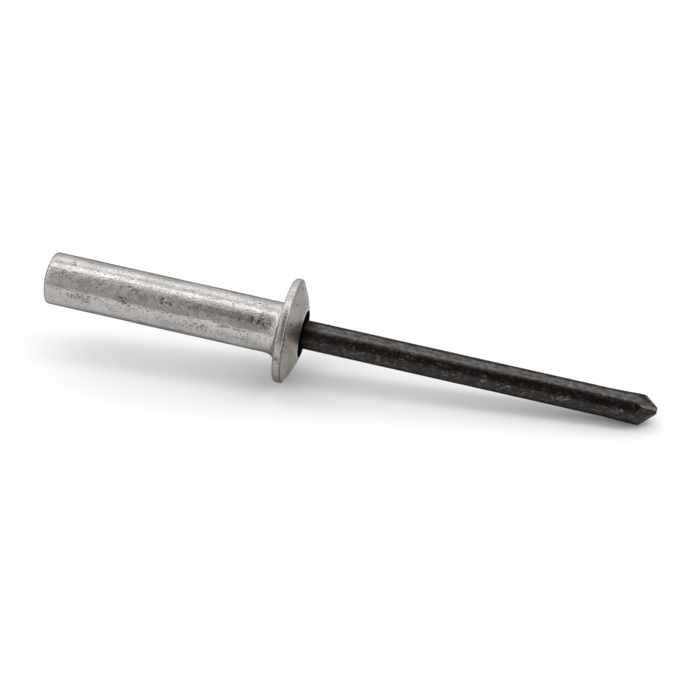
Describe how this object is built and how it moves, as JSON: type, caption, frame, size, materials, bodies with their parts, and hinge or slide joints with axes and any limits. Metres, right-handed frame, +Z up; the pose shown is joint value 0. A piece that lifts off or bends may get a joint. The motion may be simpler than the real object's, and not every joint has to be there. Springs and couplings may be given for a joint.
{
  "type": "closed-end blind rivet",
  "caption": "Closed-end blind rivet as supplied: an aluminium cup shell with a domed flange, swaged over a headed steel mandrel that a setting tool pulls until it snaps.",
  "frame": {"origin": "centre of the flange's seat face, on the rivet's axis", "axes": "the rivet lies as it rests, on the rim of its flange and the tip of its mandrel: +Z up, +X towards the mandrel's tip, with the axis in the XZ plane and leaning 6.16 degrees down towards the tip"},
  "size_m": [0.0561, 0.0096, 0.0095],
  "materials": {
    "tumbled_aluminium": "satin",
    "blackened_steel": "satin"
  },
  "bodies": {
    "root": {"shell": "tumbled_aluminium", "mandrel": "blackened_steel"}
  },
  "joints": []
}
